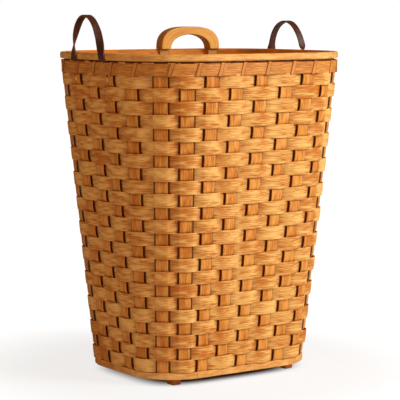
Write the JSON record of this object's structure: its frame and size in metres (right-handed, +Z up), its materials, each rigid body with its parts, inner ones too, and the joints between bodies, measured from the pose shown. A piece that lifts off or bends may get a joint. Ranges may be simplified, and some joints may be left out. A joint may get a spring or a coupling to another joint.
{
  "type": "laundry hamper",
  "caption": "Tall tapered laundry hamper of woven wood splints with a lashed band, a hooped rim, an arched wooden grip on the back rim and a swinging leather strap on each end.",
  "frame": {"origin": "on the floor plane under the middle of the base", "axes": "+Z up the hamper, X along the wide walls, Y along the narrow walls; the wall with the arched grip is at +Y, the taller strap at -X"},
  "size_m": [0.5267, 0.4354, 0.6988],
  "materials": {
    "weaver_splint": "honey stained splint, satin, grain along the strip",
    "stake_splint": "darker stained splint, satin, grain along the strip",
    "rim_wood": "bent half-round hoop, satin varnish",
    "band_splint": "stained flat splint, satin",
    "handle_wood": "sanded and varnished, rounded edges",
    "foot_wood": "plain stained block",
    "leather": "dark brown strap leather, smooth, redder cut edges",
    "peg_wood": "pale turned peg, matt"
  },
  "bodies": {
    "basket": {"weaver_01": "weaver_splint", "weaver_02": "weaver_splint", "weaver_03": "weaver_splint", "weaver_04": "weaver_splint", "weaver_05": "weaver_splint", "weaver_06": "weaver_splint", "weaver_07": "weaver_splint", "weaver_08": "weaver_splint", "weaver_09": "weaver_splint", "weaver_10": "weaver_splint", "weaver_11": "weaver_splint", "weaver_12": "weaver_splint", "weaver_13": "weaver_splint", "weaver_14": "weaver_splint", "weaver_15": "weaver_splint", "weaver_16": "weaver_splint", "weaver_17": "weaver_splint", "weaver_18": "weaver_splint", "weaver_19": "weaver_splint", "weaver_20": "weaver_splint", "weaver_21": "weaver_splint", "weaver_22": "weaver_splint", "weaver_23": "weaver_splint", "front_to_back_stake_1": "stake_splint", "front_to_back_stake_2": "stake_splint", "front_to_back_stake_3": "stake_splint", "front_to_back_stake_4": "stake_splint", "front_to_back_stake_5": "stake_splint", "front_to_back_stake_6": "stake_splint", "front_to_back_stake_7": "stake_splint", "side_to_side_stake_1": "stake_splint", "side_to_side_stake_2": "stake_splint", "side_to_side_stake_3": "stake_splint", "side_to_side_stake_4": "stake_splint", "side_to_side_stake_5": "stake_splint", "corner_stake_front_left": "stake_splint", "corner_stake_front_right": "stake_splint", "corner_stake_back_right": "stake_splint", "corner_stake_back_left": "stake_splint", "outer_rim_hoop": "rim_wood", "inner_rim_hoop": "rim_wood", "outer_band": "band_splint", "inner_band": "band_splint", "foot_band": "band_splint", "band_lashing": "band_splint", "foot_front_left": "foot_wood", "foot_front_right": "foot_wood", "foot_back_right": "foot_wood", "foot_back_left": "foot_wood", "arch_handle": "handle_wood", "left_strap_end_back": "leather", "left_strap_end_front": "leather", "right_strap_end_front": "leather", "right_strap_end_back": "leather", "left_strap_peg_back": "peg_wood", "left_strap_peg_front": "peg_wood"},
    "left_strap": {"left_strap_loop": "leather"},
    "right_strap": {"right_strap_loop": "leather"}
  },
  "joints": [
    {"name": "left_strap_swing", "type": "hinge", "parent": "basket", "child": "left_strap", "pos_m": [-0.2533, 0.0025, 0.61365], "axis": [0, -1, 0], "range_deg": [0, 150], "stiffness_Nm_per_rad": 0.06},
    {"name": "right_strap_swing", "type": "hinge", "parent": "basket", "child": "right_strap", "pos_m": [0.25272, 0.04967, 0.61365], "axis": [-0.0177, 0.9998, 0], "range_deg": [0, 150], "stiffness_Nm_per_rad": 0.06}
  ]
}
